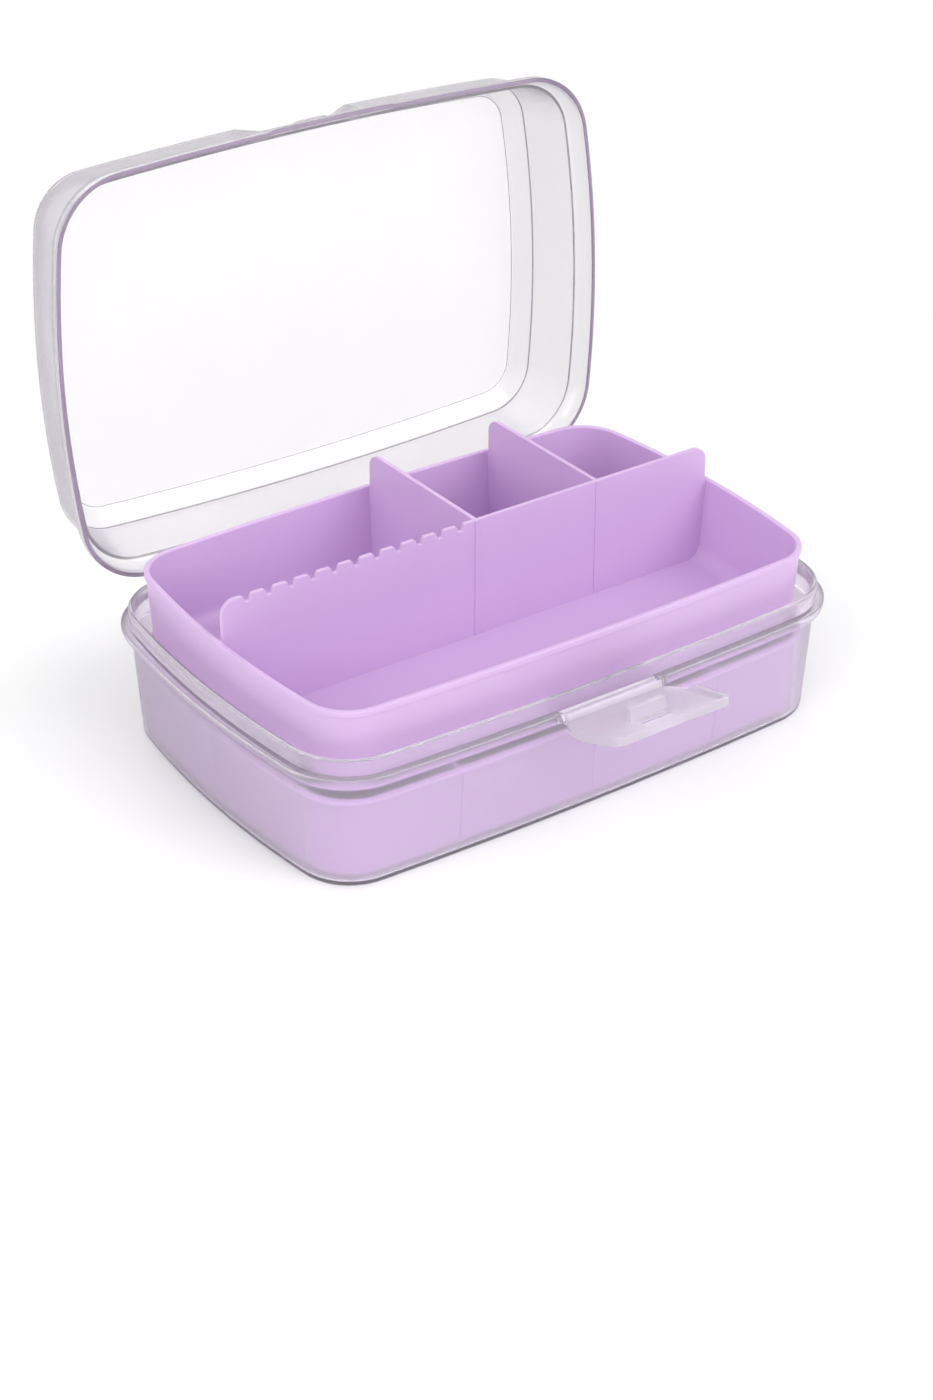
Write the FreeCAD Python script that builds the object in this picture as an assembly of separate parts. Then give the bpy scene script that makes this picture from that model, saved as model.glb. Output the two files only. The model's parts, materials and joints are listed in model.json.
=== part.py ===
"""Clear sewing organizer box: base, lower insert, lift-out tray, hinged lid and front latch."""
import FreeCAD
import Part
import math
import os

# All sizes are in millimetres and degrees.
# u is the distance outward from the base wall's outer face at the rim, seen from above.

# Plan of the box
body_length = 208.0
body_width = 137.5
corner_radius = 21.5
end_bow = 3.0
side_bow = 2.1

# Clear base
base_wall = 1.6
base_floor = 1.8
base_draft = 2.4
base_edge_radius = 3.0
flange_foot_z = 37.0
flange_z = 42.4
flange_edge = 1.2
flange_outset = 3.3
lip_height = 5.2
lip_outset = 0.7

# Clear lid
lid_wall = 1.5
lid_seat_gap = 0.2
lid_height = 34.2
skirt_straight = 2.0
skirt_rise = 5.8
lid_draft = 2.6
shoulder_drop = 5.8
shoulder_radius = 4.0
top_inset = 9.6
scoop_width = 46.0
scoop_depth = 2.0
scoop_above_skirt = 1.5

# Snap hinge along the back rim
hinge_length = 150.0
hinge_outset = 4.3
hinge_rod = 3.5
hinge_web = 1.2
hinge_play = 0.08
hinge_clip_wall = 1.35
hinge_gap = 0.25
hinge_clip_start = 150.0
hinge_stop_gap = 0.1
lid_open_angle = 93.0

# Latch on the front rim
latch_width = 47.0
latch_top_width = 44.0
latch_height = 33.0
latch_waist = 5.0
latch_hip = 12.0
latch_corner = 4.0
latch_wall = 1.5
latch_lean = 4.6
latch_bow = 1.1
latch_side_depth = 2.4
latch_top_dip = 1.0
latch_outset = 3.6
latch_drop = 1.0
latch_rod = 2.4
latch_play = 0.08
latch_barrel_wall = 1.1
latch_barrel_length = 37.0
latch_mouth = 100.0
latch_gap = 0.4
latch_lug = 2.0
latch_open_angle = 82.0
window_width = 12.5
window_height = 4.8
window_round = 2.0
hook_width = 14.0
hook_height = 2.2
hook_rise = 16.6
hook_overlap = 1.2
catch_width = 16.0
catch_height = 2.0
catch_outset = 1.6
catch_gap = 0.3

# Lilac lower insert
insert_gap = 0.4
insert_wall = 1.4
insert_floor = 1.5
insert_top_z = 31.2
insert_flange = 1.0
insert_flange_height = 1.6
insert_edge_radius = 2.5
insert_chamfer = 2.5
divider_wall = 1.4
divider_top_z = 29.6
divider_pitch = 50.6
divider_count = 3
post_diameter = 3.0

# Lilac upper tray
tray_lid_gap = 0.3
tray_seat_gap = 0.15
tray_height = 31.0
tray_wall = 1.4
tray_floor = 1.5
tray_draft = 2.0
tray_edge_radius = 7.0
tray_bead = 0.5
tray_bead_height = 1.8
comb_wall = 1.5
comb_rise = 13.0
comb_corner = 5.0
comb_end_inset = 2.0
notch_count = 11
notch_pitch = 8.06
notch_width = 2.7
notch_depth = 2.4
notch_chamfer = 0.8
first_notch_x = -87.0
tray_divider_x = (0.0, 49.5)

# Floors and the lid's top are flat from this far inside the base wall.
core_inset = 18.0
# Edges that run round the plan are turned in flats, at most this far inside the true arc.
flat_depth = 0.75

half_length = body_length / 2
half_width = body_width / 2
corner_x = half_length - corner_radius - end_bow
corner_y = half_width - corner_radius - side_bow
side_arc = (corner_x ** 2 + side_bow ** 2) / (2 * side_bow)
end_arc = (corner_y ** 2 + end_bow ** 2) / (2 * end_bow)

lip_z = flange_z + lip_height
lid_z = flange_z + lid_seat_gap
lid_top_z = lid_z + lid_height
skirt_z = lid_z + skirt_straight
wall_z = skirt_z + skirt_rise
shoulder_z = lid_top_z - shoulder_drop
lid_lean = math.degrees(math.atan2(lid_draft, shoulder_z - wall_z))

hinge_half = hinge_length / 2
hinge_y = half_width + hinge_outset
hinge_z = flange_z + hinge_web / 2
hinge_bore = hinge_rod / 2 + hinge_play
hinge_clip = hinge_bore + hinge_clip_wall

latch_y = -half_width - latch_outset
latch_z = flange_z - latch_drop
latch_bore = latch_rod / 2 + latch_play
latch_barrel = latch_bore + latch_barrel_wall
barrel_half = latch_barrel_length / 2
notch_half = barrel_half + latch_gap
hook_z = latch_z + hook_rise

tray_z = divider_top_z + tray_seat_gap
tray_top_z = tray_z + tray_height
comb_z = tray_top_z + comb_rise

ALONG = FreeCAD.Vector(1, 0, 0)
UP = FreeCAD.Vector(0, 0, 1)


def plan_arcs(u):
    """The eight arcs of the plan at one u: centre, radius, start angle and sweep."""
    side_half = math.asin(corner_x / side_arc)
    end_half = math.asin(corner_y / end_arc)
    corner_sweep = math.pi / 2 - side_half - end_half
    arcs = []
    for sign, start in ((1, 0), (-1, math.pi)):
        side_centre = (0, sign * (side_arc - corner_y - side_bow))
        end_centre = (sign * (corner_x + end_bow - end_arc), 0)
        first_corner = (sign * corner_x, -sign * corner_y)
        second_corner = (sign * corner_x, sign * corner_y)
        front = start - math.pi / 2
        arcs.append((side_centre, side_arc + corner_radius + u, front - side_half, 2 * side_half))
        arcs.append((first_corner, corner_radius + u, front + side_half, corner_sweep))
        arcs.append((end_centre, end_arc + corner_radius + u, start - end_half, 2 * end_half))
        arcs.append((second_corner, corner_radius + u, start + end_half, corner_sweep))
    return arcs


def plan_y(x, u):
    """How far the long side lies behind the middle at one place along the box."""
    return corner_y + side_bow - side_arc + math.sqrt((side_arc + corner_radius + u) ** 2 - x ** 2)


def plan_prism(u, low, high):
    """Solid with the box's plan at one u, between two heights."""
    edges = []
    for centre, radius, start, sweep in plan_arcs(u):
        points = []
        for angle in (start, start + sweep / 2, start + sweep):
            x = centre[0] + radius * math.cos(angle)
            y = centre[1] + radius * math.sin(angle)
            points.append(FreeCAD.Vector(x, y, low))
        edges.append(Part.Arc(*points).toShape())
    return Part.Face(Part.Wire(edges)).extrude(UP * (high - low))


def flat(point):
    """First two values of an outline point as a vector."""
    return FreeCAD.Vector(point[0], point[1], 0)


def round_bend(start, middle, end):
    """One circular edge through three places."""
    return [Part.Arc(start, middle, end).toShape()]


def flat_bend(start, middle, end):
    """The same bend in straight flats that stay near the arc."""
    arc = Part.Arc(start, middle, end).toShape()
    count = math.ceil(arc.Length / math.sqrt(8 * arc.Curve.Radius * flat_depth))
    return Part.makePolygon(arc.discretize(count + 1)).Edges


def outline(points, place, bend=round_bend):
    """Closed wire through points (a, b), (a, b, corner radius) or (a, b, 0, mid a, mid b) for an arc."""
    corners = []
    for i, point in enumerate(points):
        here = flat(point)
        if len(point) != 3:
            corners.append((here, here, here))
            continue
        back = (flat(points[i - 1]) - here).normalize()
        ahead = (flat(points[(i + 1) % len(points)]) - here).normalize()
        half = back.getAngle(ahead) / 2
        reach = point[2] / math.tan(half)
        depth = point[2] / math.sin(half) - point[2]
        middle = here + (back + ahead).normalize() * depth
        corners.append((here + back * reach, middle, here + ahead * reach))
    edges = []
    for i, (enter, middle, leave) in enumerate(corners):
        last = corners[i - 1][2]
        if len(points[i]) > 3:
            via = FreeCAD.Vector(points[i][3], points[i][4], 0)
            edges += bend(place(last), place(via), place(enter))
        elif last.distanceToPoint(enter) > 1e-6:
            edges.append(Part.LineSegment(place(last), place(enter)).toShape())
        if enter.distanceToPoint(leave) > 1e-6:
            edges += bend(place(enter), place(middle), place(leave))
    return Part.Wire(edges)


def ring(section):
    """Solid swept round the plan from a section of (u, z) points."""
    pieces = []
    for centre, radius, start, sweep in plan_arcs(0):
        middle = FreeCAD.Vector(centre[0], centre[1], 0)
        toward = FreeCAD.Vector(math.cos(start), math.sin(start), 0)
        wire = outline(section, lambda p: middle + toward * (radius + p.x) + UP * p.y, flat_bend)
        pieces.append(Part.Face(wire).revolve(middle, UP, math.degrees(sweep)))
    return pieces[0].multiFuse(pieces[1:])


def tub(section, low, high):
    """Ring with its flat middle: the section starts and ends at the core, between two heights."""
    return ring(section).fuse(plan_prism(-core_inset, low, high)).removeSplitter()


def filled(outside, depth, low, high):
    """Everything inside a tub's outer face, from a depth behind it."""
    behind = [(u - depth, *rest) for u, *rest in outside]
    return tub([(-core_inset, low)] + behind + [(-core_inset, high)], low, high)


def profile_along(points, half):
    """Solid with an outline of (y, z) points, half to each side of the middle plane."""
    wire = outline(points, lambda p: FreeCAD.Vector(-half, p.x, p.y))
    return Part.Face(wire).extrude(ALONG * (2 * half))


def profile_across(points, y_low, y_high):
    """Solid with an outline of (x, z) points, between two depths."""
    wire = outline(points, lambda p: FreeCAD.Vector(p.x, y_low, p.y))
    return Part.Face(wire).extrude(FreeCAD.Vector(0, y_high - y_low, 0))


def block(x_low, x_high, y_low, y_high, z_low, z_high):
    """Box between two corners."""
    return Part.makeBox(x_high - x_low, y_high - y_low, z_high - z_low, FreeCAD.Vector(x_low, y_low, z_low))


def rod(radius, x_low, x_high, y, z):
    """Cylinder along the box."""
    return Part.makeCylinder(radius, x_high - x_low, FreeCAD.Vector(x_low, y, z), ALONG)


def clip(inner, outer, start, end, half, y, z):
    """Open ring along the box round an axis, between two angles measured from the back upward."""
    def spot(radius, angle):
        return y + radius * math.cos(math.radians(angle)), z + radius * math.sin(math.radians(angle))
    middle = (start + end) / 2
    return profile_along([
        (*spot(inner, start), 0, *spot(inner, middle)),
        spot(outer, start),
        (*spot(outer, end), 0, *spot(outer, middle)),
        spot(inner, end),
    ], half)


def swell(wall_u, at_z, out_u, upright_z):
    """Middle of the arc that leaves a wall and ends upright further out."""
    run = out_u - wall_u
    rise = upright_z - at_z
    radius = (run ** 2 + rise ** 2) / (2 * run)
    angle = math.atan2(-rise, radius - run) / 2
    return out_u - radius + radius * math.cos(angle), upright_z + radius * math.sin(angle)


def parallel(points, distance):
    """Run of straight lines moved to its left."""
    moved = []
    for i, point in enumerate(points):
        last = flat(points[max(i - 1, 0)])
        ahead = flat(points[min(i + 1, len(points) - 1)])
        legs = [leg.normalize() for leg in (flat(point) - last, ahead - flat(point)) if leg.Length > 0]
        normals = [FreeCAD.Vector(-leg.y, leg.x, 0) for leg in legs]
        total = normals[0] + normals[-1]
        shift = total * (2 * distance / total.dot(total))
        moved.append((point[0] + shift.x, point[1] + shift.y))
    return moved


def base_inner(z):
    """u of the base's inner face at one height."""
    return -base_wall - base_draft * (1 - z / flange_foot_z)


def base_shell():
    """Clear base with its floor, drafted wall, rim flange, lip, hinge rod and latch bar."""
    edge_z = flange_z - flange_edge
    shape = tub([
        (-core_inset, 0),
        (-base_draft, 0, base_edge_radius),
        (0, flange_foot_z),
        (flange_outset, edge_z, 0, *swell(0, flange_foot_z, flange_outset, edge_z)),
        (flange_outset, flange_z),
        (lip_outset, flange_z),
        (lip_outset, lip_z),
        (base_inner(lip_z), lip_z),
        (base_inner(base_floor), base_floor),
        (-core_inset, base_floor),
    ], 0, base_floor)

    groove_half = hinge_half + hinge_gap
    groove = rod(hinge_clip + hinge_gap, -groove_half, groove_half, hinge_y, hinge_z)
    web = block(-hinge_half, hinge_half, 0, hinge_y, hinge_z - hinge_web / 2, hinge_z + hinge_web / 2)
    web = web.cut(plan_prism(0, 0, lip_z))
    hinge_bar = rod(hinge_rod / 2, -hinge_half, hinge_half, hinge_y, hinge_z)
    shape = shape.cut(groove).multiFuse([web, hinge_bar])

    notch_z = latch_z - latch_barrel - latch_gap
    notch = block(-notch_half, notch_half, latch_y - latch_barrel, 0, notch_z, flange_z)
    notch = notch.cut(plan_prism(lip_outset, 0, lip_z))
    lug_half = notch_half + latch_lug
    lugs = []
    for side in (-1, 1):
        ends = sorted((side * notch_half, side * lug_half))
        stem = block(*ends, latch_y, 0, latch_z - latch_rod / 2, flange_z)
        lugs.append(stem.cut(plan_prism(0, 0, lip_z)))
        lugs.append(rod(latch_bore + latch_gap, *ends, latch_y, latch_z))
    latch_bar = rod(latch_rod / 2, -lug_half, lug_half, latch_y, latch_z)
    return shape.cut(notch).multiFuse(lugs + [latch_bar])


def lid_walls(wall):
    """One face of the lid's section, a wall thickness inside its outer face, from skirt to top plate."""
    out = flange_outset
    radius = (out ** 2 + skirt_rise ** 2) / (2 * out)
    middle = out - radius
    turn = math.acos(-(middle + wall) / (radius - wall))
    arc = []
    for angle in (turn, turn / 2):
        arc.append(middle + (radius - wall) * math.cos(angle))
        arc.append(skirt_z + (radius - wall) * math.sin(angle))
    shoulder, edge, core = parallel([
        (0, wall_z),
        (-lid_draft, shoulder_z),
        (-top_inset, lid_top_z),
        (-core_inset, lid_top_z),
    ], wall)[1:]
    return [
        (out - wall, lid_z),
        (out - wall, skirt_z),
        (arc[0], arc[1], 0, arc[2], arc[3]),
        (*shoulder, max(shoulder_radius - wall, 0)),
        edge,
        (-core_inset, core[1]),
    ]


def turned_back(face):
    """The same face's points in the opposite order, with its arc entered from the other end."""
    low, skirt, arc, *rest = face
    return rest[::-1] + [arc[:2], (*skirt, 0, *arc[3:]), low]


def lid_face(z):
    """u of the closed lid's drafted outer wall at one height."""
    return -lid_draft * (z - wall_z) / (shoulder_z - wall_z)


def scoop(extra):
    """Leaning cylinder that hollows the lid's front for a fingertip, a wall thickness larger."""
    radius = ((scoop_width / 2) ** 2 + scoop_depth ** 2) / (2 * scoop_depth)
    face_y = -half_width + lid_draft + scoop_depth
    shape = Part.makeCylinder(radius + extra, 2 * lid_height, FreeCAD.Vector(0, face_y - radius, 0))
    shape.translate(UP * (shoulder_z - lid_height))
    shape.rotate(FreeCAD.Vector(0, face_y, shoulder_z), ALONG, -lid_lean)
    foot_z = wall_z + scoop_above_skirt - extra
    return shape.common(block(-half_length, half_length, -body_width, 0, foot_z, lid_top_z))


def lid_closed():
    """Clear lid in its closed place, with hinge clip, finger scoop and latch catch."""
    outer = lid_walls(0)
    shape = tub(outer + turned_back(lid_walls(lid_wall)), lid_top_z - lid_wall, lid_top_z)
    full = tub(outer + [(-core_inset, lid_z)], lid_z, lid_top_z)
    catch_z = hook_z - catch_gap
    catch_half = catch_width / 2
    catch_y = -half_width - catch_outset
    backing = scoop(lid_wall).common(full)
    catch = block(-catch_half, catch_half, catch_y, 0, catch_z - catch_height, catch_z)
    catch = catch.cut(plan_prism(lid_face(catch_z) - scoop_depth - lid_wall / 2, 0, lid_top_z))
    shape = shape.fuse(backing).cut(scoop(0)).fuse(catch)

    hinge_cut = hinge_half + hinge_gap
    above_web = hinge_z + hinge_web / 2 + hinge_gap
    inside_y = hinge_y - hinge_clip - hinge_outset
    shape = shape.cut(block(-hinge_cut, hinge_cut, inside_y, hinge_y, 0, above_web))
    shape = shape.cut(rod(hinge_bore, -hinge_cut, hinge_cut, hinge_y, hinge_z))
    clip_half = hinge_half - hinge_gap
    stop = 180 + math.degrees(math.asin((hinge_web / 2 + hinge_stop_gap) / hinge_bore))
    hinge_end = stop + lid_open_angle - 360
    root = block(-clip_half, clip_half, 0, hinge_y, hinge_z + hinge_bore, hinge_z + hinge_clip)
    root = root.cut(plan_prism(flange_outset - lid_wall / 2, 0, lid_top_z))
    barrel = clip(hinge_bore, hinge_clip, hinge_clip_start, hinge_end, clip_half, hinge_y, hinge_z)
    shape = shape.multiFuse([root, barrel])

    latch_cut = notch_half + latch_lug + latch_gap
    latch_room = block(-latch_cut, latch_cut, -body_width, 0, 0, latch_z + latch_barrel + latch_gap)
    return shape.cut(latch_room)


def latch_outline(inset):
    """Front view of the latch's plate, drawn in on all sides but its foot."""
    foot = barrel_half - inset
    hip = latch_width / 2 - inset
    top = latch_top_width / 2 - inset
    top_z = latch_z + latch_height - inset
    corner = latch_corner - inset
    right = [
        (foot, latch_z),
        (foot, latch_z + latch_waist, corner),
        (hip, latch_z + latch_hip, corner),
        (top, top_z, corner),
    ]
    left = [(-x, *rest) for x, *rest in right[::-1]]
    return right + [(0, top_z - latch_top_dip, latch_width)] + left


def latch_face(inset):
    """Leaning and bowed face of the latch, inset from its outer face: foot, middle and top points."""
    foot_u = latch_outset + latch_barrel - inset
    points = []
    for share, bow in ((0, 0), (0.5, latch_bow), (1, 0)):
        points.append((-half_width - foot_u + share * latch_lean - bow, latch_z + share * latch_height))
    return points


def latch_layer(near, far):
    """Curved layer of the latch between two depths behind its outer face."""
    foot, middle, top = latch_face(near)
    back_foot, back_middle, back_top = latch_face(far)
    points = [foot, (*top, 0, *middle), back_top, (*back_foot, 0, *back_middle)]
    return profile_along(points, latch_width / 2)


def latch_closed():
    """Milky latch in its closed place: curved plate, side flanges, window, hook and snap barrel."""
    depth = (-half_width - latch_height, 0)
    front = profile_across(latch_outline(0), *depth)
    plate = latch_layer(0, latch_wall).common(front)
    hollow = profile_across(latch_outline(latch_wall), *depth)
    below = block(-latch_width, latch_width, *depth, 0, latch_z + latch_hip)
    side_layer = latch_layer(latch_wall / 2, latch_wall + latch_side_depth)
    flanges = side_layer.common(front.cut(hollow)).cut(below)
    hook_half = hook_width / 2
    hook_y = -half_width - catch_outset + hook_overlap
    hook = block(-hook_half, hook_half, depth[0], hook_y, hook_z, hook_z + hook_height)
    hook = hook.cut(latch_layer(-latch_width, latch_wall / 2))
    window_z = hook_z + hook_height + window_height / 2
    window_half = window_width / 2
    window = profile_across([
        (-window_half, window_z - window_height / 2),
        (window_half, window_z - window_height / 2, window_round),
        (window_half, window_z + window_height / 2),
        (-window_half, window_z + window_height / 2),
    ], *depth)
    shut = latch_mouth / 2
    barrel = clip(latch_bore, latch_barrel, shut, 360 - shut, barrel_half, latch_y, latch_z)
    bore = rod(latch_bore, -latch_width, latch_width, latch_y, latch_z)
    return plate.cut(window).multiFuse([flanges, hook, barrel]).cut(bore)


def lower_insert():
    """Lilac insert with its rim flange, crossing dividers and a round post at each crossing."""
    inner_floor = base_floor + insert_floor
    rim = base_inner(insert_top_z) - insert_gap
    wall_top = rim - insert_flange
    wall_foot = base_inner(base_floor) - insert_gap - insert_flange
    under_rim = insert_top_z - insert_flange_height
    outside = [
        (wall_foot - insert_chamfer, base_floor),
        (wall_foot, base_floor + insert_chamfer),
        (wall_top, under_rim),
        (rim, under_rim),
        (rim, insert_top_z),
    ]
    inside = [
        (wall_top - insert_wall, insert_top_z),
        (wall_foot - insert_wall, inner_floor, insert_edge_radius),
        (-core_inset, inner_floor),
    ]
    shape = tub([(-core_inset, base_floor)] + outside + inside, base_floor, inner_floor)
    room = filled(outside, insert_wall / 2, base_floor, insert_top_z)
    thick = divider_wall / 2
    walls = [block(-half_length, half_length, -thick, thick, base_floor, divider_top_z)]
    posts = []
    for i in range(divider_count):
        x = (i - (divider_count - 1) / 2) * divider_pitch
        walls.append(block(x - thick, x + thick, -half_width, half_width, base_floor, divider_top_z))
        post_foot = FreeCAD.Vector(x, 0, base_floor)
        posts.append(Part.makeCylinder(post_diameter / 2, divider_top_z - base_floor, post_foot))
    return shape.multiFuse([wall.common(room) for wall in walls] + posts)


def tray_face():
    """u of the tray's wall below its bead, clear of the lid's finger scoop."""
    return lid_face(tray_top_z) - scoop_depth - lid_wall - tray_lid_gap - tray_bead


def comb_plate():
    """Raised middle wall of the tray with its row of thread notches."""
    end = half_length + tray_face() - comb_end_inset
    half = notch_width / 2
    low = comb_z - notch_depth
    floor_half = half - notch_chamfer
    points = [(end, tray_z + tray_floor), (end, comb_z, comb_corner)]
    for i in reversed(range(notch_count)):
        x = first_notch_x + i * notch_pitch
        points += [(x + half, comb_z), (x + half, low + notch_chamfer), (x + floor_half, low)]
        points += [(x - floor_half, low), (x - half, low + notch_chamfer), (x - half, comb_z)]
    points += [(-end, comb_z, comb_corner), (-end, tray_z + tray_floor)]
    return profile_across(points, -comb_wall / 2, comb_wall / 2)


def upper_tray():
    """Lilac tray with a beaded edge, the comb wall along its middle and two dividers behind it."""
    inner_floor = tray_z + tray_floor
    wall_top = tray_face()
    wall_foot = wall_top - tray_draft
    under_bead = tray_top_z - tray_bead_height
    outside = [
        (wall_foot, tray_z, tray_edge_radius),
        (wall_top, under_bead),
        (wall_top + tray_bead, under_bead),
        (wall_top + tray_bead, tray_top_z),
    ]
    inside = [
        (wall_top - tray_wall, tray_top_z),
        (wall_foot - tray_wall, inner_floor, tray_edge_radius - tray_wall),
        (-core_inset, inner_floor),
    ]
    shape = tub([(-core_inset, tray_z)] + outside + inside, tray_z, inner_floor)
    room = filled(outside, tray_wall / 2, tray_z, tray_top_z)
    above = block(-half_length, half_length, -half_width, half_width, tray_top_z, comb_z)
    thick = comb_wall / 2
    foot = block(-half_length, half_length, -thick, thick, tray_z, tray_top_z).common(room)
    room = room.fuse(above)
    walls = [foot, comb_plate().common(room)]
    for x in tray_divider_x:
        end = plan_y(x, wall_top) - comb_end_inset
        divider = profile_along([
            (0, tray_z + tray_floor / 2),
            (half_width, tray_z + tray_floor / 2),
            (half_width, tray_top_z),
            (end, tray_top_z),
            (end, comb_z, comb_corner),
            (0, comb_z),
        ], thick)
        divider.translate(ALONG * x)
        walls.append(divider.common(room))
    return shape.multiFuse(walls)


def main():
    """Build each piece in its rest place and write it as one file."""
    hinge_axis = FreeCAD.Vector(0, hinge_y, hinge_z)
    latch_axis = FreeCAD.Vector(0, latch_y, latch_z)
    lid = lid_closed()
    lid.rotate(hinge_axis, ALONG, -lid_open_angle)
    latch = latch_closed()
    latch.rotate(latch_axis, ALONG, latch_open_angle)
    pieces = {
        "base_shell": base_shell(),
        "lower_insert": lower_insert(),
        "upper_tray": upper_tray(),
        "lid": lid,
        "latch": latch,
    }
    os.makedirs("parts", exist_ok=True)
    for name, shape in pieces.items():
        solids = shape.removeSplitter().Solids
        solids[0].exportStep("parts/" + name + ".step")
        box = solids[0].BoundBox
        print(name, "solids", len(solids), "valid", solids[0].isValid(), "volume", round(solids[0].Volume),
              "box", [round(v, 2) for v in (box.XMin, box.XMax, box.YMin, box.YMax, box.ZMin, box.ZMax)])


main()
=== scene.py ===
"""Clear organizer box with a lilac insert, a comb tray, a hinged lid and a front latch."""

import bmesh
import bpy
import json
import math
from bpy.props import FloatProperty, FloatVectorProperty, IntProperty, PointerProperty
from bpy.types import Operator, Panel, PropertyGroup
from mathutils import Matrix, Vector


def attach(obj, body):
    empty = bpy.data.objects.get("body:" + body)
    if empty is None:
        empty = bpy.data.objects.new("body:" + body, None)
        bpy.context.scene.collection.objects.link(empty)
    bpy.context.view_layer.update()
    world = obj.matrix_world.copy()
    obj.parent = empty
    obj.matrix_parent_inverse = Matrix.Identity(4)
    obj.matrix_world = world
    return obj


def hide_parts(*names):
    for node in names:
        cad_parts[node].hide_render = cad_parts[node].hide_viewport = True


bl_info = {
    "name": "Compartment organizer box",
    "version": (1, 0, 0),
    "blender": (4, 5, 0),
    "location": "View3D > Sidebar > Organizer",
    "description": "Dresses the packed organizer box with moulded plastic shells and a studio stage",
    "category": "Object",
}

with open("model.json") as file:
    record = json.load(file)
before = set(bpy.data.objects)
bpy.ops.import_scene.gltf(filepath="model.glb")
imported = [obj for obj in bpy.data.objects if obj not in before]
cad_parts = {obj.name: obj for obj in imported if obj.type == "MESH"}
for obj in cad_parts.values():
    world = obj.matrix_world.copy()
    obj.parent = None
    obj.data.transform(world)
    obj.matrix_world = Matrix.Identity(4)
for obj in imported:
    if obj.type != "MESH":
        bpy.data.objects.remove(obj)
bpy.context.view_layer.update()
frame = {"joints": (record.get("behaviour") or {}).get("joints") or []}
JOINTS = {joint["name"]: joint for joint in frame["joints"]}
HINGE_Y, HINGE_Z = HINGE = JOINTS["lid_hinge"]["pos_m"][1:]
LATCH_Y, LATCH_Z = LATCH = JOINTS["latch_pivot"]["pos_m"][1:]

MM = 0.001

# Steps round the plan's long sides, short sides and corners, in bends, round bars, posts, clip and floor
SIDE_STEPS = 32
END_STEPS = 24
CORNER_STEPS = 20
BEND_STEPS = 6
ROUND_STEPS = 40
POST_STEPS = 24
CLIP_STEPS = 24
FLOOR_STEPS = 96

# Small lengths that keep the faces of tools off the faces they meet
NUDGE = 0.03 * MM
WALL_SINK = 0.3 * MM       # the tray's walls end this far below its edge
WALL_LAP = 0.6 * MM        # the room for the raised comb begins this far below it
OVERLAP = 1.0 * MM         # tools stand this far past what they cut
SCOOP_REACH = 4            # the scoop's tool is this many scoops deep

SMOOTH_ANGLE = math.radians(32)
FACES_DOWN = -0.9          # a face whose normal's height is less than this looks down
CLEAR, FROSTED, TURNED, RIM, BEND = range(5)  # the lid's material slots
PLASTIC_IOR = 1.49
WHITE = (1, 1, 1, 1)
MATERIALS = {}             # finished materials by the name of the function that makes them

# Stage in metres, watts and millimetres of lens: floor, world, lamps and camera
FLOOR_RADIUS = 6.0
FLOOR_LEVELS = (-0.02, -0.0002)
FLOOR_FADE = (0.16, 0.42)  # distances between which the floor runs out into white
SKY_STRENGTH = 0.7
LAMP_SIZE = 1.2
LAMP_AIM = (0, 0, 0.06)
LAMPS = (
    ("key", (0.5, -1.2, 1.0), 12.5),
    ("fill", (-1.2, -0.4, 0.9), 8.5),
    ("back", (0.2, 1.3, 1.2), 4.0),
)
EYE = (-0.4696, -0.6517, 0.4885)
AIM = (-0.0091, 0.0016, 0.09)
LENS = 71.65
SENSOR = 36.0
SHIFT = (0.0118, -0.1571)


def length(label, description, millimetres):
    """Size property in metres, given in millimetres."""
    return FloatProperty(
        name=label, description=description, default=millimetres * MM, unit="LENGTH", precision=5,
    )


def angle(label, description, degrees):
    """Angle property, given in degrees."""
    return FloatProperty(
        name=label, description=description, default=math.radians(degrees), subtype="ANGLE",
    )


def share(label, description, part):
    """Property for a part of a whole."""
    return FloatProperty(name=label, description=description, default=part, subtype="FACTOR", min=0, max=1)


def linear(code):
    """Linear colour of an sRGB hex value."""
    parts = [int(code[i:i + 2], 16) / 255 for i in (1, 3, 5)]
    return tuple(c / 12.92 if c <= 0.04045 else ((c + 0.055) / 1.055) ** 2.4 for c in parts)


def colour(label, description, code):
    """Colour property, given as an sRGB hex value."""
    return FloatVectorProperty(
        name=label, description=description, default=linear(code), subtype="COLOR", min=0, max=1,
    )


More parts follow.
